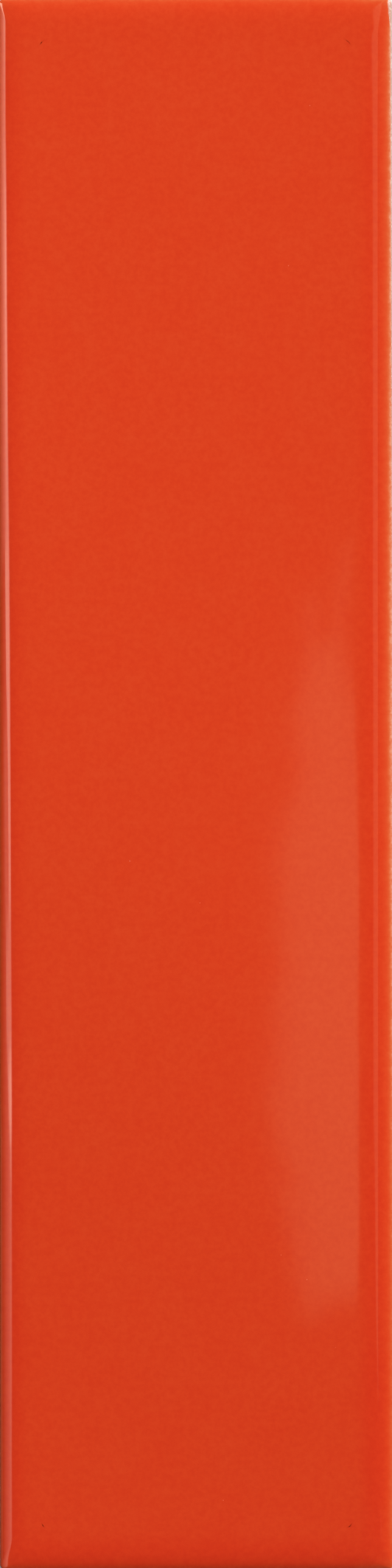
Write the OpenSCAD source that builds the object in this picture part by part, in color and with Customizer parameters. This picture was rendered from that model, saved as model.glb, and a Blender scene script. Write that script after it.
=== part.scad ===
// Field tile: one pressed and fired ceramic tile, glazed on the face, bare on its sides and back.
// Millimetres, +Z up. The origin is the centre of the back, which lies on Z = 0, and the tile runs along Y.

/* [Tile] */
// Width of the tile across its widest band
tile_w = 75; // [50:0.5:200]
// Length of the tile across its widest band
tile_l = 299; // [100:0.5:600]
// Thickness from the back to the flat of the face
tile_t = 8; // [7:0.1:14]
// Radius of the upright corners, seen from above
corner_r = 0.8; // [0.4:0.1:2]

/* [Cushion rim] */
// Width of the wide, shallow roll that leads off the face
cushion_w = 3; // [2.5:0.25:8]
// How far that roll drops below the flat of the face
cushion_drop = 0.75; // [0.4:0.05:1]
// Radius of the tight roll that leads on down into the side
arris_r = 0.6; // [0.4:0.05:1.5]
// Slope, in degrees, of the cone that eases each mitre where two rims meet
ease_slope = 11; // [8:1:12]
// Distance from the rims in to the axis of that cone, measured on the flat of the face
ease_inset = 0.5; // [0:0.1:4]

/* [Sides] */
// How far the side leans out on its way from the tight roll down to the band
side_lean = 0.2; // [0.1:0.05:1]
// Height above the back at which the side stops leaning out
band_top = 4; // [2.5:0.1:4.2]
// Height above the back at which the side starts to lean in again
band_bottom = 2; // [0.8:0.1:2.2]
// Set-back of the side from the band down to the back
back_inset = 0.5; // [0.2:0.1:1.2]

/* [Keyed back] */
// Width of one key groove
key_w = 5; // [3:0.5:6.5]
// Depth of one key groove
key_depth = 0.6; // [0.3:0.1:1.2]
// Distance between the centre lines of neighbouring grooves
key_pitch = 10.5; // [7:0.5:14]
// Least width of the plain border round the grooves
key_border = 8; // [4:0.5:20]

/* [Hidden] */

glaze_red = [0.86, 0.25, 0.12];
ease_gap = 0.05; // keeps the cone clear of the rims where they run straight
over = 5;        // how far a cutting solid runs past what it cuts
$fn = 96;

// The shallow roll is an arc that starts level and falls by its drop over its width.
cushion_r = (cushion_w * cushion_w + cushion_drop * cushion_drop) / (2 * cushion_drop);
cushion_end = [cushion_w, cushion_r - cushion_drop] / cushion_r; // sine and cosine of its last tilt
rim_w = cushion_w + arris_r * (1 - cushion_end.x) + side_lean;

// There are as many pairs of grooves as fit between the borders of the long edges.
outer_groove = tile_w / 2 - back_inset - key_border - key_w / 2;
key_pairs = floor(outer_groove / key_pitch + 1 / 2);

// The two rolls at one edge of a section, seen from the corner where its span meets the face.
module rolls(arris_centre) {
    translate([-rim_w, 0])
        intersection() {
            translate([0, -cushion_r]) circle(cushion_r);
            translate([-over, arris_centre.y - over]) square([over + cushion_w, over - arris_centre.y]);
        }
    translate(arris_centre) circle(arris_r);
}

// The pressed section across a span, run along Y for a given length, centred.
module pressed_bar(span, length) {
    half_span = span / 2;
    arris_centre = [-side_lean - arris_r, -cushion_drop - arris_r * cushion_end.y];
    arris_z = tile_t + arris_centre.y;
    rotate([90, 0, 0])
        linear_extrude(length, center = true)
            for (side = [0, 1])
                mirror([side, 0]) {
                    polygon([
                        [-over, 0],
                        [half_span - back_inset, 0],
                        [half_span, band_bottom],
                        [half_span, band_top],
                        [half_span - side_lean, arris_z],
                        [-over, arris_z],
                    ]);
                    translate([-over, band_bottom])
                        square([over + half_span - rim_w, tile_t - band_bottom]);
                    translate([half_span, tile_t]) rolls(arris_centre);
                }
}

// The outline seen from above, with its corners rounded.
module plan() {
    square([tile_w - 2 * corner_r, tile_l], center = true);
    square([tile_w, tile_l - 2 * corner_r], center = true);
    for (sx = [-1, 1], sy = [-1, 1])
        translate([sx * (tile_w / 2 - corner_r), sy * (tile_l / 2 - corner_r)]) circle(corner_r);
}

// What is taken off one corner: all that stands above a shallow cone, outward from the cone's axis.
module corner_ease() {
    axis_inset = rim_w + ease_inset;
    face_r = ease_inset + cushion_r * tan(ease_slope / 2) + ease_gap;
    translate([tile_w / 2 - axis_inset, tile_l / 2 - axis_inset, tile_t])
        difference() {
            translate([0, 0, -over]) cube([axis_inset + over, axis_inset + over, 2 * over]);
            translate([0, 0, -2 * over])
                cylinder(h = 2 * over, r1 = face_r + 2 * over / tan(ease_slope), r2 = face_r);
        }
}

// The pressed blank: one section along and one across, so that the rims meet in mitres, and the corners eased.
module blank() {
    difference() {
        intersection() {
            pressed_bar(tile_w, tile_l + 2 * over);
            rotate([0, 0, 90]) pressed_bar(tile_l, tile_w + 2 * over);
            translate([0, 0, -over]) linear_extrude(tile_t + 2 * over) plan();
        }
        for (sx = [0, 1], sy = [0, 1])
            mirror([sx, 0, 0]) mirror([0, sy, 0]) corner_ease();
    }
}

// One round-ended groove in the back, for the adhesive to key into.
module key_groove() {
    half_straight = tile_l / 2 - back_inset - key_border - key_w / 2;
    translate([0, 0, -over])
        linear_extrude(over + key_depth) {
            square([key_w, 2 * half_straight], center = true);
            for (end = [-1, 1])
                translate([0, end * half_straight]) circle(key_w / 2);
        }
}

module field_tile() {
    color(glaze_red)
        difference() {
            blank();
            for (pair = [1 : key_pairs], side = [-1, 1])
                translate([side * (pair - 1 / 2) * key_pitch, 0, 0]) key_groove();
        }
}

field_tile();
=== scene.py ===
"""A glazed ceramic field tile, seen from straight above. Metres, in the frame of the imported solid."""
import math

import bpy
import numpy as np
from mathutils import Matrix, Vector, noise
from mathutils.geometry import delaunay_2d_cdt


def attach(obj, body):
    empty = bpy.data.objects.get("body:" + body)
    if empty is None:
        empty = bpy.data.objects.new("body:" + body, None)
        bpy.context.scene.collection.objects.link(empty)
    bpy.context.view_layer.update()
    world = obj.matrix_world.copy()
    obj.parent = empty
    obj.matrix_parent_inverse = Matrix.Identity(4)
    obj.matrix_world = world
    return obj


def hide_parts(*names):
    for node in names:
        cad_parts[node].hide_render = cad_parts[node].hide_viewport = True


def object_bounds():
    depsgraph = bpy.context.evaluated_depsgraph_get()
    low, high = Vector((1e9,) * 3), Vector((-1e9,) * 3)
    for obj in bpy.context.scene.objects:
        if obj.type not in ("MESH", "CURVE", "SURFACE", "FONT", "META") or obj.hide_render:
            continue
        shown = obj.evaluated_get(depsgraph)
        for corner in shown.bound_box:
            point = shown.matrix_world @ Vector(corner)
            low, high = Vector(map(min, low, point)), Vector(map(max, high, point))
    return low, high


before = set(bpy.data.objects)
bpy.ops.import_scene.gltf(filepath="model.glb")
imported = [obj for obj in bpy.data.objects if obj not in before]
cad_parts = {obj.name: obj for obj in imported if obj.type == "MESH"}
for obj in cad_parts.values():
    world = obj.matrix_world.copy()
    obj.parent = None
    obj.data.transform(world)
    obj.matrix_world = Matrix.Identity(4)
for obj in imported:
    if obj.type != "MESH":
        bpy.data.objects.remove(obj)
cad_low, cad_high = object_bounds()

# ------------------------------------------------ sizes, in millimetres unless a comment says otherwise
MM = 0.001
HALF_W, HALF_L, THICK = cad_high.x / MM, cad_high.y / MM, cad_high.z / MM

# The pressed section, its insets measured from the band, which is the widest line. The band and the back are
# the solid's. The side stands straighter, and the rim is rounder than the solid's two arcs: the sine of its
# tilt is EDGE_SINE at EDGE_INSET, where the tight roll starts. Over the face it fades by a factor e in each
# FADE, and it is eased to nothing over the last RIM_EASE of RIM_W.
RIM_W, RIM_EASE, FADE = 7.5, 2.0, 1.4
EDGE_INSET, EDGE_SINE = 0.22, 0.684
ROLL_POINTS, TURN_POINTS = 300, 30
SIDE_LEAN = 0.03
BAND_TOP, BAND_BOTTOM = 4.0, 2.0
BACK_INSET = 0.5
CORNER_R = 0.8
KEY_W, KEY_DEPTH, KEY_PITCH, KEY_BORDER, KEY_PAIRS = 5.0, 0.6, 10.5, 8.0, 3

# How the rims turn the corners, seen from above: the radius on the shallow roll, and past the tight one.
RIM_CORNER_R, LIP_CORNER_R = 3.0, 0.9

# The glaze coat on each side of the tile. RUN is how far past the shallow roll it reaches down the side. It
# thins towards the inset EDGE over a stretch THIN, and where EDGE is below 0 it ends before it is thin. POOL
# is the share that gathers inside the roll. It is all there at the inset POOL_OUT, and gone at POOL_IN.
SIDES = ("right", "top", "left", "bottom")
GLAZE_RUN = {"right": 1.2, "top": 0.85, "left": 2.05, "bottom": 1.25}
GLAZE_EDGE = {"right": 0.62, "top": -0.35, "left": 0.0, "bottom": -0.35}
GLAZE_THIN = {"right": 0.85, "top": 0.8, "left": 0.5, "bottom": 0.5}
GLAZE_POOL = {"right": 0.17, "top": 0.02, "left": 0.17, "bottom": 0.17}
POOL_OUT = {"right": 3.6, "top": 5.0, "left": 2.2, "bottom": 2.6}
POOL_IN = {"right": 7.6, "top": 11.0, "left": 5.8, "bottom": 8.0}
GLAZE_STEP = 0.09
GRAIN = 0.05

# How far apart the points lie round the tile and on its flat, and how many turn a corner.
STEP = 0.35
FLAT_STEP = 1.5
ARC_POINTS = 8

# What glaze_gap says on the back, far from any glaze.
NO_GLAZE = -9.0


def smooth(x):
    """0 below 0, 1 above 1, and an even S between."""
    x = np.clip(x, 0, 1)
    return x * x * (3 - 2 * x)


# ------------------------------------------------ the section
def rim_section():
    """Rows of length, inset, height and tilt from upright, from the flat out and down to the back."""
    inset = np.linspace(RIM_W, EDGE_INSET, ROLL_POINTS)
    sine = EDGE_SINE * np.exp((EDGE_INSET - inset) / FADE) * smooth((RIM_W - inset) / RIM_EASE)
    tilt = np.arcsin(sine)
    fall = np.tan((tilt[1:] + tilt[:-1]) / 2) * (inset[:-1] - inset[1:])
    z = THICK - np.concatenate([[0], np.cumsum(fall)])

    arris_r = (EDGE_INSET - SIDE_LEAN) / (1 - EDGE_SINE)
    turn = np.linspace(tilt[-1], math.pi / 2, TURN_POINTS)[1:]
    inset = np.append(inset, SIDE_LEAN + arris_r * (1 - np.sin(turn)))
    z = np.append(z, z[-1] - arris_r * (math.cos(tilt[-1]) - np.cos(turn)))
    tilt = np.append(tilt, turn)

    lean = math.pi / 2 - math.atan2(SIDE_LEAN, z[-1] - BAND_TOP)
    under = math.pi / 2 + math.atan2(BACK_INSET, BAND_BOTTOM)
    inset = np.append(inset, [0, 0, BACK_INSET])
    z = np.append(z, [BAND_TOP, BAND_BOTTOM, 0])
    tilt = np.append(tilt, [lean, math.pi / 2, under])
    length = np.concatenate([[0], np.cumsum(np.hypot(np.diff(inset), np.diff(z)))])
    return np.array([length, inset, z, tilt])


# Lengths along the section: to the tight roll's start, the band's top and bottom, and the back.
SECTION = rim_section()
ARRIS_S = SECTION[0][ROLL_POINTS - 1]
BAND_S, UNDER_S, BACK_S = SECTION[0][-3:]


def section(s):
    """Inset, height and tilt of the outward normal from upright, s along the section."""
    return [np.interp(s, SECTION[0], row) for row in SECTION[1:]]


def corner_radius(s):
    """Radius, seen from above, with which the line at s turns the tile's corners."""
    over_lip = smooth((s - ARRIS_S + 2.2) / 2.4)
    down_side = smooth((s - ARRIS_S - 0.4) / 0.8)
    past_rim = LIP_CORNER_R + (CORNER_R - LIP_CORNER_R) * down_side
    return RIM_CORNER_R + (past_rim - RIM_CORNER_R) * over_lip


# ------------------------------------------------ the way round
def way_round():
    """For each point round the tile: its corner's signs, its turn there, how far it is along the straight to
    the next corner, and the next corner's signs."""
    n_long = round(2 * HALF_L / STEP)
    n_short = round(2 * HALF_W / STEP)
    corners = [(1, 1), (-1, 1), (-1, -1), (1, -1)]
    rows = []
    for i, (sx, sy) in enumerate(corners):
        start = i * math.pi / 2
        for k in range(ARC_POINTS + 1):
            rows.append((sx, sy, start + math.pi / 2 * k / ARC_POINTS, 0.0, sx, sy))
        nx, ny = corners[(i + 1) % 4]
        n = n_short if i % 2 == 0 else n_long
        for k in range(1, n):
            rows.append((sx, sy, start + math.pi / 2, k / n, nx, ny))
    return np.array(rows, float)


WAY = way_round()
WAY_POINTS = len(WAY)


def ring_xy(inset, radius):
    """Points round the tile at an inset from the band, the corners turned with a radius."""
    sx, sy, turn, along, nx, ny = WAY.T
    a, b = HALF_W - inset - radius, HALF_L - inset - radius
    x = (sx + (nx - sx) * along) * a + radius * np.cos(turn)
    y = (sy + (ny - sy) * along) * b + radius * np.sin(turn)
    return x, y


def as_rows(x, y, z=0.0):
    return np.column_stack([x, y, np.broadcast_to(z, x.shape)])


def fractal_at(points, size, octaves, seed):
    """Smooth fractal noise, about -1 to 1, with features of a size, at rows of x, y, z."""
    shift = Vector((17.3 * seed, 9.1 * seed, 5.7 * seed))
    return np.array([noise.fractal(Vector(p) / size + shift, 0.9, 2.0, octaves) for p in points])


def by_side(x, y, values, reach=9.0):
    """A value that each side has, at places x, y: blended where two sides are within reach, and the mean of
    all four where none is."""
    near = [x - HALF_W, y - HALF_L, -x - HALF_W, -y - HALF_L]
    weights = np.array([smooth((n + reach) / reach) for n in near]) + 1e-4
    return sum(w * values[side] for w, side in zip(weights, SIDES)) / weights.sum(0)


def glaze_line():
    """How far past the shallow roll the glaze ends, round the tile: a level on each side, made ragged."""
    x, y = ring_xy(np.zeros(WAY_POINTS), np.full(WAY_POINTS, CORNER_R))
    level = by_side(x, y, GLAZE_RUN)
    # on the right it stops short of that, the more so the nearer the top, and most in the last stretch
    gain, short_at_top, short_at_corner, corner_reach = 0.0031, 0.24, 0.42, 6
    at_corner = smooth((y - HALF_L + corner_reach) / corner_reach)
    short = gain * (HALF_L - y) - short_at_top - short_at_corner * at_corner
    level = np.minimum(level, short + 1.4 * (HALF_W - x))
    p = as_rows(x, y)
    sag = 0.04 * fractal_at(p, 22.0, 2, 1)
    ragged = 0.07 * fractal_at(p, 1.1, 3, 2)
    nibble = -0.16 * np.clip(fractal_at(p, 0.9, 2, 3) - 0.3, 0, 1)
    return level + (sag + ragged + nibble) * (1 + 0.5 * level)


def coat(x, y, inset, gap):
    """How thick the glaze is, 1 on the flat, given the inset and the gap to its end down the side. It is a
    little deeper towards -Y."""
    low = smooth(-y / 130)
    edge = by_side(x, y, GLAZE_EDGE)
    # from the middle down, the edge on the right moves out towards the band
    edge = edge - 0.7 * smooth((40 - y) / 170) * np.clip(edge, 0, 1)
    # the distance in from the edge, which runs out softly instead of going below nothing
    soft = 0.22
    past_edge = soft * np.log(1 + np.exp((inset - edge) / soft))
    thin = by_side(x, y, GLAZE_THIN) * (1 - 0.13 * low)
    pool = by_side(x, y, GLAZE_POOL) * (1 + 0.3 * low)
    start, end = by_side(x, y, POOL_OUT), by_side(x, y, POOL_IN)
    gathered = (1 + pool) * (1 - np.exp(-past_edge / thin))
    spread = pool * smooth((inset - start) / (end - start))
    at_end = np.exp(-np.maximum(gap, 0) / 0.08)
    return (gathered - spread + 0.05 * low) * (1 - 0.35 * at_end)


# ------------------------------------------------ mesh
GLAZE, BODY = 0, 1


def wave(x, y):
    """The slow unevenness of the fired glaze. It stays at or below the flat."""
    p = as_rows(x, y)
    slow = 0.016 * fractal_at(p * np.array([1.0, 0.55, 1.0]), 26.0, 2, 5)
    fine = 0.0016 * fractal_at(p, 6.0, 2, 6)
    return slow + fine - 0.022


class Sheet:
    """Collects vertices and faces, with what the materials read at each vertex."""

    def __init__(self):
        self.count = 0
        self.points, self.coat, self.gap = [], [], []
        self.faces, self.kinds = [], []

    def add(self, x, y, z, inset, gap):
        first = self.count
        self.points.append(as_rows(x, y, z))
        self.coat.append(coat(x, y, inset, gap))
        self.gap.append(np.broadcast_to(gap, x.shape))
        self.count += len(x)
        return np.arange(first, self.count)

    def strips(self, rows, kind):
        """Quads between neighbours in a list of closed rows of points. The first row is nearest the middle of
        the side that the quads face."""
        for a, b in zip(rows, rows[1:]):
            for i in range(len(a)):
                j = (i + 1) % len(a)
                self.faces.append((a[i], b[i], b[j], a[j]))
                self.kinds.append(kind)

    def fill(self, loops, spare, up, kind, keep=lambda x, y: True):
        """Triangles inside closed rows of points, and through the spare points, turned up or down. keep says
        whether a triangle with its middle at x, y stays."""
        ids = np.concatenate([*loops, spare]).astype(int)
        all_points = np.concatenate(self.points)
        flat = [Vector(all_points[i][:2]) for i in ids]
        edges, start = [], 0
        for loop in loops:
            n = len(loop)
            edges += [(start + i, start + (i + 1) % n) for i in range(n)]
            start += n
        _, _, triangles, origins, _, _ = delaunay_2d_cdt(flat, edges, [], 0, 1e-7)
        back = [ids[o[0]] for o in origins]
        for t in triangles:
            face = tuple(back[i] for i in t)
            mx, my = all_points[list(face)].mean(0)[:2]
            if keep(mx, my):
                self.faces.append(face if up else face[::-1])
                self.kinds.append(kind)


def add_ring(sheet, line, s, sunk=0.0, grain=0.0, waved=False):
    """One row of points round the tile, s along the section, sunk below its surface and roughened there."""
    s = s * np.ones(WAY_POINTS)
    inset, z, tilt = section(s)
    radius = corner_radius(s)
    inset = inset + sunk * np.sin(tilt)
    z = z - sunk * np.cos(tilt)
    x, y = ring_xy(inset, radius)
    if grain:
        pits = grain * np.abs(fractal_at(as_rows(x, y, z), 0.9, 3, 8))
        x, y = ring_xy(inset + pits * np.sin(tilt), radius)
        z = z - pits * np.cos(tilt)
    if waved:
        z = z + wave(x, y)
    return sheet.add(x, y, z, inset, ARRIS_S + line - s)


def glazed_rows(sheet, line):
    """Over both rolls and down the side to the glaze's ragged end, and over its lip to the body."""
    brink = ARRIS_S - 1.0
    share_of_roll = 1 - np.linspace(1, 0, 11) ** 1.4
    rows = [add_ring(sheet, line, s, waved=True) for s in share_of_roll * brink]
    for share in np.linspace(0, 1, 14)[1:]:
        rows.append(add_ring(sheet, line, brink + (1.0 + line) * share, waved=True))
    end = ARRIS_S + line
    rows.append(add_ring(sheet, line, end + 0.03, sunk=0.035, waved=True))
    rows.append(add_ring(sheet, line, end + 0.05, sunk=GLAZE_STEP, grain=0.01))
    return rows


def bare_rows(sheet, line, foot):
    """The bare body from the glaze's foot out to the band, down it, in below it, and round onto the back."""
    start = ARRIS_S + line + 0.05
    rows = [foot]
    for share in np.linspace(0, 1, 7)[1:]:
        s = start + (BAND_S - start) * share ** 1.6
        rows.append(add_ring(sheet, line, s, sunk=GLAZE_STEP * (1 - share) ** 2, grain=GRAIN))
    for s in (*np.linspace(BAND_S, UNDER_S, 3)[1:], *np.linspace(UNDER_S, BACK_S - 0.14, 3)[1:]):
        rows.append(add_ring(sheet, line, s, grain=GRAIN))
    # the edge it stands on is worn off
    for extra, z in ((0.05, 0.04), (0.16, 0.0)):
        inset = BACK_INSET + extra
        x, y = ring_xy(np.full(WAY_POINTS, inset), np.full(WAY_POINTS, CORNER_R - 0.3))
        rows.append(sheet.add(x, y, z, inset, NO_GLAZE))
    return rows


def flat_points(sheet):
    """An even grid of points on the flat of the face."""
    places = []
    for half in (HALF_W, HALF_L):
        reach = half - RIM_W - FLAT_STEP / 2
        places.append(np.linspace(-reach, reach, round(2 * (half - RIM_W) / FLAT_STEP)))
    x, y = (g.ravel() for g in np.meshgrid(*places))
    inset = np.minimum(HALF_W - np.abs(x), HALF_L - np.abs(y))
    return sheet.add(x, y, THICK + wave(x, y), inset, inset)


def key_groove(sheet, cx, half):
    """One round-ended groove in the back, with straight sides from -half to half. Returns its edge."""
    turn = np.linspace(0, math.pi, 13)
    side = np.linspace(1, -1, 60)[1:-1] * half
    rows = []
    for z, shrink in ((0.0, 0.0), (0.08, 0.03), (KEY_DEPTH - 0.1, 0.12), (KEY_DEPTH, 0.25)):
        r = KEY_W / 2 - shrink
        edge = np.full(side.shape, r)
        x = np.concatenate([r * np.cos(turn), -edge, -r * np.cos(turn), edge])
        y = np.concatenate([half + r * np.sin(turn), side, -half - r * np.sin(turn), -side])
        rows.append(sheet.add(cx + x, y, z, 5.0, NO_GLAZE))
    sheet.strips(rows[::-1], BODY)

    def in_groove(x, y):
        return math.hypot(x - cx, max(abs(y) - half, 0)) < KEY_W / 2

    sheet.fill([rows[-1]], [], False, BODY, in_groove)
    return rows[0]


def keyed_back(sheet, border):
    """The back inside its border, with its grooves."""
    centres = []
    for pair in range(1, KEY_PAIRS + 1):
        for side in (-1, 1):
            centres.append(side * (pair - 0.5) * KEY_PITCH)
    half = HALF_L - BACK_INSET - KEY_BORDER - KEY_W / 2
    loops = [key_groove(sheet, cx, half) for cx in centres]

    def on_land(x, y):
        past_end = max(abs(y) - half, 0)
        return all(math.hypot(x - cx, past_end) > KEY_W / 2 - 0.02 for cx in centres)

    sheet.fill([border, *loops], [], False, BODY, on_land)


def tile_mesh():
    sheet = Sheet()
    line = glaze_line()
    glazed = glazed_rows(sheet, line)
    sheet.strips(glazed, GLAZE)
    bare = bare_rows(sheet, line, glazed[-1])
    sheet.strips(bare, BODY)
    sheet.fill([glazed[0]], flat_points(sheet), True, GLAZE)
    keyed_back(sheet, bare[-1])
    return sheet


def build(name, sheet):
    mesh = bpy.data.meshes.new(name)
    points = np.concatenate(sheet.points) * MM
    mesh.from_pydata(points.tolist(), [], [tuple(int(i) for i in f) for f in sheet.faces])
    for attribute, values in (("coat", sheet.coat), ("glaze_gap", sheet.gap)):
        layer = mesh.attributes.new(attribute, "FLOAT", "POINT")
        layer.data.foreach_set("value", np.concatenate(values).astype(np.float32))
    mesh.polygons.foreach_set("material_index", sheet.kinds)
    mesh.polygons.foreach_set("use_smooth", [True] * len(sheet.faces))
    mesh.update()
    mesh.set_sharp_from_angle(angle=math.radians(38))
    piece = bpy.data.objects.new(name, mesh)
    bpy.context.scene.collection.objects.link(piece)
    return piece


# ------------------------------------------------ materials
class Nodes:
    """A short way to write a node tree."""

    def __init__(self, tree):
        self.tree = tree
        tree.nodes.clear()

    def add(self, kind, inputs=None, **settings):
        node = self.tree.nodes.new(kind)
        for key, value in settings.items():
            setattr(node, key, value)
        for key, value in (inputs or {}).items():
            self.put(node.inputs[key], value)
        return node

    def put(self, socket, value):
        if isinstance(value, bpy.types.NodeSocket):
            self.tree.links.new(value, socket)
        else:
            socket.default_value = value

    def output(self, shader, kind="ShaderNodeOutputMaterial"):
        self.add(kind, {0: shader.outputs[0]})

    def math(self, operation, a, b=0.0, clamp=False):
        return self.add("ShaderNodeMath", {0: a, 1: b}, operation=operation, use_clamp=clamp).outputs[0]

    def span(self, value, low, high, to_low=0.0, to_high=1.0):
        ends = {"Value": value, "From Min": low, "From Max": high, "To Min": to_low, "To Max": to_high}
        return self.add("ShaderNodeMapRange", ends, interpolation_type="SMOOTHSTEP").outputs[0]

    def mix(self, factor, a, b, blend="MIX"):
        node = self.add("ShaderNodeMix", data_type="RGBA", blend_type=blend)
        self.put(node.inputs[0], factor)
        self.put(node.inputs[6], a)
        self.put(node.inputs[7], b)
        return node.outputs[2]

    def noise(self, vector, size_mm, detail=2.0, roughness=0.5):
        inputs = {"Vector": vector, "Scale": 1 / (size_mm * MM), "Detail": detail, "Roughness": roughness}
        return self.add("ShaderNodeTexNoise", inputs).outputs[0]

    def ramp(self, factor, stops):
        """Colours along a factor from 0 to 1, from a list of places and colours."""
        node = self.add("ShaderNodeValToRGB", {0: factor})
        elements = node.color_ramp.elements
        while len(elements) < len(stops):
            elements.new(0.5)
        for element, (place, colour) in zip(elements, stops):
            element.position, element.color = place, (*colour, 1)
        return node.outputs[0]

    def attribute(self, name):
        return self.add("ShaderNodeAttribute", attribute_name=name).outputs["Fac"]

    def place(self):
        return self.add("ShaderNodeTexCoord").outputs["Object"]

    def parts(self, vector):
        return self.add("ShaderNodeSeparateXYZ", {0: vector}).outputs

    def surface(self, colour, roughness, height, depth):
        """A surface of a colour and roughness, whose height from 0 to 1 is a relief of a depth in metres."""
        bump = self.add("ShaderNodeBump", {"Height": height, "Strength": 1.0, "Distance": depth})
        inputs = {"Base Color": colour, "Roughness": roughness, "IOR": 1.5, "Normal": bump.outputs[0]}
        self.output(self.add("ShaderNodeBsdfPrincipled", inputs))


def node_material(name):
    material = bpy.data.materials.new(name)
    material.use_nodes = True
    return material, Nodes(material.node_tree)


# The glaze's colour by its thickness: the pale body shows through where it is thin.
GLAZE_COLOURS = [
    (0.00, (0.750, 0.3100, 0.1900)),
    (0.12, (0.710, 0.1850, 0.0830)),
    (0.25, (0.690, 0.1300, 0.0420)),
    (0.40, (0.684, 0.0990, 0.0270)),
    (0.60, (0.690, 0.0765, 0.0195)),
    (0.80, (0.700, 0.0620, 0.0153)),
    (1.00, (0.705, 0.0510, 0.0117)),
    (1.20, (0.700, 0.0412, 0.0100)),
    (1.40, (0.690, 0.0335, 0.0087)),
]


def glaze_material():
    material, n = node_material("red_orange_glaze")
    place = n.place()

    # the coat is a little uneven everywhere: cloudy patches, and a finer mottling in them
    cloud = n.span(n.noise(place, 9.0, 3.0), 0.3, 0.7, -0.03, 0.03)
    fleck = n.span(n.noise(place, 1.3, 5.0, 0.7), 0.3, 0.7, -0.09, 0.09)
    thickness = n.math("ADD", n.attribute("coat"), n.math("ADD", cloud, fleck))
    most = GLAZE_COLOURS[-1][0]
    stops = [(t / most, colour) for t, colour in GLAZE_COLOURS]
    colour = n.ramp(n.math("DIVIDE", thickness, most), stops)

    # painted shade: the colour is darkened a little towards -Y, most at -X, where the light falls off; the
    # fine mottling is taken off the same factor
    x, y, _ = n.parts(place)
    reach = n.math("ADD", y, n.math("MULTIPLY", x, 0.9))
    falloff_shade_and_mottle = n.math("SUBTRACT", n.span(reach, -0.13, 0.04, 0.93, 1.005), n.math("MULTIPLY", fleck, 0.23))
    colour = n.mix(1.0, colour, falloff_shade_and_mottle, "MULTIPLY")

    # pinholes
    cells = n.add("ShaderNodeTexVoronoi", {"Vector": place, "Scale": 1 / (9 * MM), "Randomness": 1.0})
    hole = n.math("MULTIPLY", n.math("LESS_THAN", cells.outputs["Distance"], 0.012), 0.5)
    colour = n.mix(hole, colour, (0.85, 0.25, 0.15, 1))

    n.surface(colour, 0.05, n.noise(place, 2.4, 2.0), 0.0000012)
    return material


def body_material():
    material, n = node_material("bare_fired_body")
    place = n.place()
    gap = n.attribute("glaze_gap")

    cloud = n.noise(place, 5.0, 4.0)
    grain = n.noise(place, 0.35, 3.0, 0.7)
    spots = n.noise(place, 0.9, 2.0, 0.6)
    colour = n.mix(n.span(cloud, 0.3, 0.7), (0.665, 0.375, 0.285, 1), (0.745, 0.480, 0.390, 1))
    colour = n.mix(n.span(grain, 0.35, 0.65, 0.0, 0.35), colour, (0.560, 0.290, 0.200, 1))
    colour = n.mix(n.span(spots, 0.52, 0.62, 0.0, 0.8), colour, (0.830, 0.650, 0.570, 1))
    # the glaze has stained the body near its edge, and right under that the body is darkened brown in specks
    colour = n.mix(n.span(gap, -0.45, -0.05, 0.0, 0.6), colour, (0.720, 0.270, 0.170, 1))
    dark_specks_under_edge = n.math("MULTIPLY", n.span(gap, -0.10, -0.05), n.span(spots, 0.40, 0.55, 0.85, 0.1))
    colour = n.mix(dark_specks_under_edge, colour, (0.230, 0.090, 0.060, 1))

    n.surface(colour, 0.85, grain, 0.00006)
    return material


# ------------------------------------------------ the tile
tile = build("tile", tile_mesh())
tile.data.materials.append(glaze_material())
tile.data.materials.append(body_material())
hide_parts("field_tile")
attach(tile, "root")

# ------------------------------------------------ camera, floor, world and lamps
# The photo shows a little less than the tile's length, SEEN_L in metres. The lens is long, in millimetres.
LENS, SENSOR = 200.0, 36.0
SEEN_L = 0.2983
CAMERA_UP = SEEN_L * LENS / SENSOR


def set_camera():
    """Straight above the face, a hair off its middle and a hair turned, as the photo was taken."""
    data = bpy.data.cameras.new("camera")
    data.lens, data.sensor_width, data.sensor_fit = LENS, SENSOR, "AUTO"
    data.clip_end = 50.0
    camera = bpy.data.objects.new("camera", data)
    camera.location = (0.00001, 0.0, THICK * MM + CAMERA_UP)
    camera.rotation_euler = (0, 0, math.radians(-0.066))
    bpy.context.scene.collection.objects.link(camera)
    bpy.context.scene.camera = camera


def set_floor(size, colour, roughness):
    h = size / 2
    mesh = bpy.data.meshes.new("floor")
    mesh.from_pydata([(-h, -h, 0), (h, -h, 0), (h, h, 0), (-h, h, 0)], [], [(0, 1, 2, 3)])
    material = bpy.data.materials.new("pale_floor")
    material.use_nodes = True
    shader = material.node_tree.nodes["Principled BSDF"]
    shader.inputs["Base Color"].default_value = (*colour, 1)
    shader.inputs["Roughness"].default_value = roughness
    mesh.materials.append(material)
    obj = bpy.data.objects.new("floor", mesh)
    bpy.context.scene.collection.objects.link(obj)


def set_world(overhead, horizon, power):
    """A dim room, least so at the horizon. power sets how fast it dims on the way up."""
    sky = bpy.data.worlds.new("studio")
    bpy.context.scene.world = sky
    sky.use_nodes = True
    n = Nodes(sky.node_tree)
    height = n.parts(n.add("ShaderNodeTexCoord").outputs["Generated"])[2]
    below = n.math("POWER", n.math("SUBTRACT", 1.0, height, clamp=True), power, clamp=True)
    glow = n.mix(below, (*[overhead] * 3, 1), (*[horizon] * 3, 1))
    n.output(n.add("ShaderNodeBackground", {"Color": glow}), "ShaderNodeOutputWorld")


def direction(azimuth, zenith):
    """A unit direction: azimuth in degrees from +X towards +Y, zenith in degrees down from straight up."""
    a, z = math.radians(azimuth), math.radians(zenith)
    return Vector((math.sin(z) * math.cos(a), math.sin(z) * math.sin(a), math.cos(z)))


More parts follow.
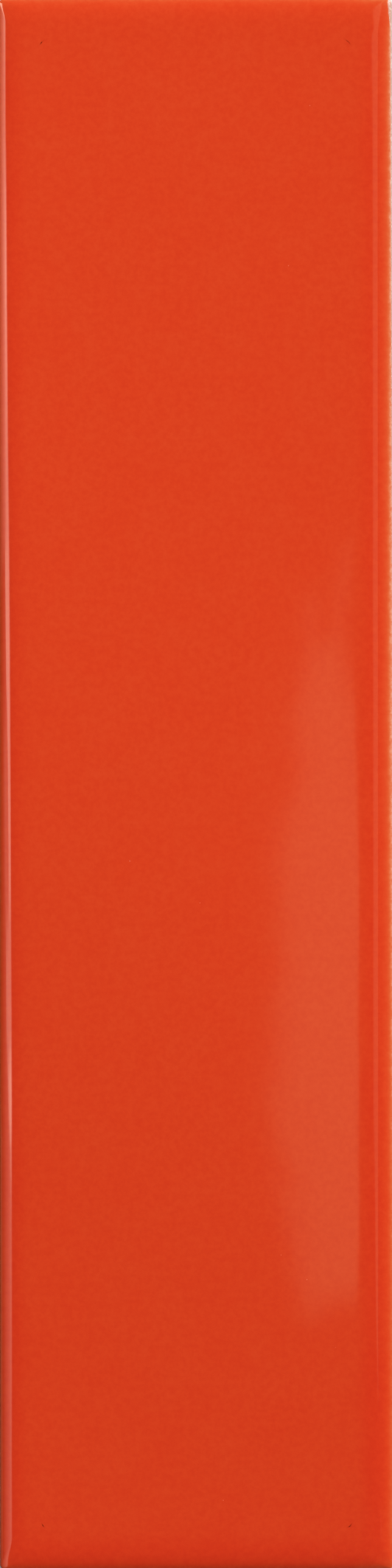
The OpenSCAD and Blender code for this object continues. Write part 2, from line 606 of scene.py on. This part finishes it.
def soft_sun(name, way, strength, angle):
    """Even light from a broad patch of the room, that isn't seen as a hot spot in the glaze."""
    data = bpy.data.lights.new(name, "SUN")
    data.energy, data.angle = strength * math.pi, math.radians(angle)
    obj = bpy.data.objects.new(name, data)
    obj.rotation_mode = "QUATERNION"
    obj.rotation_quaternion = way.to_track_quat("Z", "Y")
    obj.visible_glossy = False
    bpy.context.scene.collection.objects.link(obj)


def low_lamp(length, height, spread, energy, place):
    """A long, narrow lamp to the left, that lights the rim's foot. It shines level towards +X, with a narrow
    spread that keeps it off the floor."""
    data = bpy.data.lights.new("low_lamp", "AREA")
    data.shape, data.size, data.size_y = "RECTANGLE", length, height
    data.spread, data.energy = math.radians(spread), energy
    obj = bpy.data.objects.new("low_lamp", data)
    obj.location = place
    obj.rotation_euler = (math.radians(90), 0, math.radians(-90))
    obj.visible_glossy = obj.visible_camera = False
    bpy.context.scene.collection.objects.link(obj)


# ------------------------------------------------ what the glaze mirrors
def card(name, corners, radiance, tint, faces=None, share=1.0):
    """A glowing card through given corners, that shows only in what is glossy. radiance is a number, or a
    function that gives it from the nodes and the place's y and z in metres. share is how dense it is at each
    corner."""
    mesh = bpy.data.meshes.new(name)
    mesh.from_pydata(corners, [], faces or [tuple(range(len(corners)))])
    layer = mesh.attributes.new("share", "FLOAT", "POINT")
    layer.data.foreach_set("value", np.broadcast_to(share, len(corners)).astype(np.float32))
    material, n = node_material(name)
    if callable(radiance):
        _, y, z = n.parts(n.place())
        radiance = radiance(n, y, z)
    glow = n.add("ShaderNodeEmission", {"Color": (*tint, 1), "Strength": radiance}).outputs[0]
    clear = n.add("ShaderNodeBsdfTransparent").outputs[0]
    n.output(n.add("ShaderNodeMixShader", {0: n.attribute("share"), 1: clear, 2: glow}))
    mesh.materials.append(material)
    obj = bpy.data.objects.new(name, mesh)
    obj.visible_camera = obj.visible_diffuse = obj.visible_shadow = False
    bpy.context.scene.collection.objects.link(obj)


def rim_card(name, side, out, inner, outer, fade, radiance, tint):
    """An upright card beside the tile, to the left (-1) or right (1), out from the rim by a distance in
    metres. Its two edges are where the rim mirrors them to the camera: the place along the rim in
    millimetres, and how far from straight up the mirrored light comes in, in degrees. It fades in over the
    first angle of fade at its inner edge, and out over the second at its outer one."""
    along = sorted({y for y, angle in inner + outer})
    low = np.interp(along, *zip(*inner))
    high = np.interp(along, *zip(*outer))
    middle = (low + high) / 2
    full_from = np.minimum(low + fade[0], middle)
    full_to = np.maximum(high - fade[1], middle)
    corners = []
    for angles in (low, full_from, full_to, high):
        for y, angle in zip(along, angles):
            up = out / math.tan(math.radians(angle))
            x = side * (HALF_W * MM + out)
            corners.append(Vector((x, y * MM * (1 + up / CAMERA_UP), THICK * MM + up)))
    n = len(along)
    faces = [(i, i + 1, i + 1 + n, i + n) for row in range(3) for i in range(row * n, row * n + n - 1)]
    card(name, corners, radiance, tint, faces, np.repeat([0, 1, 1, 0], n))


def face_card(name, up, outline, radiance, tint):
    """A level card that shows in the flat of the face, up above the tile in metres. Its outline is where the
    face mirrors it, in millimetres."""
    corners = [Vector((x * MM, y * MM, 0)) * (1 + up / CAMERA_UP) + Vector((0, 0, up)) for x, y in outline]
    card(name, corners, radiance, tint)


def floor_shade_sheet(name, low_x, high_x, low_y, high_y):
    """A sheet just above the floor, between lines in millimetres, that glows a dim red and shows only in what
    is glossy: painted shade of the floor.
    """
    corners = [(low_x, low_y), (high_x, low_y), (high_x, high_y), (low_x, high_y)]
    above_floor = 0.2
    places = [Vector((x, y, above_floor)) * MM for x, y in corners]
    card(name, places, 0.05, (1, 0.5, 0.4))


def box_glow(n, y, z):
    """The soft box is brighter the higher, and the farther along +Y: it rises to a level, has a hump on that,
    and rises again beyond it."""
    upward = n.math("MULTIPLY", z, n.math("ADD", n.math("MULTIPLY", z, 13.0), 15.5))
    hump = n.math("MULTIPLY", n.span(y, 0.14, 0.175, 0, 0.036), n.span(y, 0.2, 0.216, 1, 0))
    beyond = n.math("MULTIPLY", n.math("MAXIMUM", n.math("SUBTRACT", y, 0.235), 0.0), 2.0)
    level = n.math("ADD", n.math("MINIMUM", y, 0.157), n.math("ADD", hump, beyond))
    return n.math("MINIMUM", n.math("MULTIPLY", upward, level), 10.0)


def wall_glow(n, y, z):
    """The wall dims to nothing near the floor."""
    return n.math("MAXIMUM", n.math("MULTIPLY", n.math("SUBTRACT", z, 0.35), 1.15), 0.0)


WARM, YELLOW, PALE = (1.0, 0.84, 0.64), (1.0, 0.93, 0.5), (1.0, 0.9, 0.47)
# The ends of cards that run on out of sight: a place along the rim, and an angle that is nearly level.
FAR, LEVEL = 1500, 88

set_floor(60.0, (0.80, 0.79, 0.77), 0.7)
set_world(0.03, 0.12, 4.0)
soft_sun("key", direction(47.4, 45.2), 1.012, 28)
soft_sun("fill", direction(0, 0), 0.30, 60)
low_lamp(0.16, 0.006, 24, 0.0036, (-0.187, 0.145, 0.012))

# to the left, a big soft box, and in line with it a strip light in a haze
box_inner = [
    (50, 23.2), (64, 25.1), (72, 26.6), (83, 26.9), (95, 28.5), (108, 29.2), (123, 30.2), (136, 33.5),
    (555, 33.5),
]
rim_card("box", -1, 0.8, box_inner, [(50, LEVEL), (555, LEVEL)], (6, 6), box_glow, WARM)
strip_inner = [(-19, 18.9), (8, 20.1), (24, 20.8), (50, 23)]
strip_outer = [(-26, 28), (-19, 27.5), (8, 31), (24, 37), (50, 42)]
rim_card("strip_light", -1, 0.79, strip_inner, strip_outer, (3.8, 3.4), 5.2, WARM)
rim_card("haze", -1, 0.81, [(-30, 22), (12, 24)], [(-30, 48), (12, 56)], (3, 14), 1.5, WARM)

# a dimmer strip light further down, with a bright head
low_inner = [(-79, 18), (-60, 17.4), (-38, 18.4), (-27, 20)]
low_outer = [(-79, 20), (-72, 27), (-57, 34), (-50, 38), (-38, 39), (-32, 39), (-27, 25)]
rim_card("low_strip", -1, 0.78, low_inner, low_outer, (3.4, 5), 3.2, WARM)
head_inner = [(-73, 19.5), (-66, 17.4), (-56, 17.6), (-52, 20)]
head_outer = [(-73, 20.5), (-66, 28), (-57, 31.5), (-52, 22)]
rim_card("lamp_head", -1, 0.77, head_inner, head_outer, (3.4, 8), 6.8, WARM)

# the dim wall behind them and its skirting
wall_inner = [(-FAR, 18.3), (-130, 18.3), (-110, 17.6), (-40, 17.6), *strip_inner]
rim_card("left_wall", -1, 0.82, wall_inner, [(-FAR, LEVEL), (50, LEVEL)], (3, 3), wall_glow, WARM)
skirting_inner, skirting_outer = [(-FAR, 56), (-85, 64)], [(-FAR, LEVEL), (-85, LEVEL)]
rim_card("skirting", -1, 0.815, skirting_inner, skirting_outer, (8, 2), 0.45, WARM)

# a dim wall to the right, and a small light near its lower end
wall_inner = [
    (-118, 13), (-112, 11), (-100, 9.3), (-80, 8.5), (-62, 7.1), (130, 7.4), (139, 6.4), (143, 6.3),
    (147, 7.2), (FAR, 9),
]
wall_outer = [(-118, 13.1), (-80, 13.4), (40, 14), (130, 14.4), (141, 15.2), (FAR, 15.6)]
rim_card("right_wall", 1, 0.3, wall_inner, wall_outer, (1.2, 1.2), 0.72, YELLOW)
light_inner, light_outer = [(-145.4, 16.4), (-141.8, 16.4)], [(-145.4, 19), (-141.8, 19)]
rim_card("small_light", 1, 0.31, light_inner, light_outer, (0.9, 0.9), 0.55, YELLOW)

# the small pale card that shows in the face, with its right side in the start of the roll
pale_outline = [
    (29.2, 24), (29.5, 46), (27.5, 46), (27, 28), (22.5, 25), (21.5, 37), (19, 36), (20.5, 24), (18.9, 10),
    (18.6, -1), (16, -7), (15.3, -16), (16.9, -32), (15, -48), (15, -61), (17.4, -73), (18.6, -86),
    (20.5, -97), (21, -102), (23, -102), (24, -97), (33, -98), (36, -84), (36, -12), (33, 8), (31, 20),
]
face_card("pale_card", 1.0, pale_outline, 0.87, PALE)

# painted shade: dim, reddish glowing sheets just above the floor, which the steep foot of the rim mirrors as
# a dark, shaded floor
SHADE_SHEET_END, SHADE_SHEET_GAP = 2000, 0.5
floor_shade_sheet("left_shade_sheet", -SHADE_SHEET_END, -HALF_W - SHADE_SHEET_GAP, -SHADE_SHEET_END, 95)
floor_shade_sheet("near_shade_sheet", -HALF_W, SHADE_SHEET_END, -SHADE_SHEET_END, -HALF_L - SHADE_SHEET_GAP)
floor_shade_sheet("right_shade_sheet", HALF_W + SHADE_SHEET_GAP, SHADE_SHEET_END, -HALF_L, SHADE_SHEET_END)
floor_shade_sheet("far_shade_sheet", -HALF_W, HALF_W, HALF_L + SHADE_SHEET_GAP, SHADE_SHEET_END)

set_camera()
bpy.context.scene.view_settings.view_transform = "Standard"
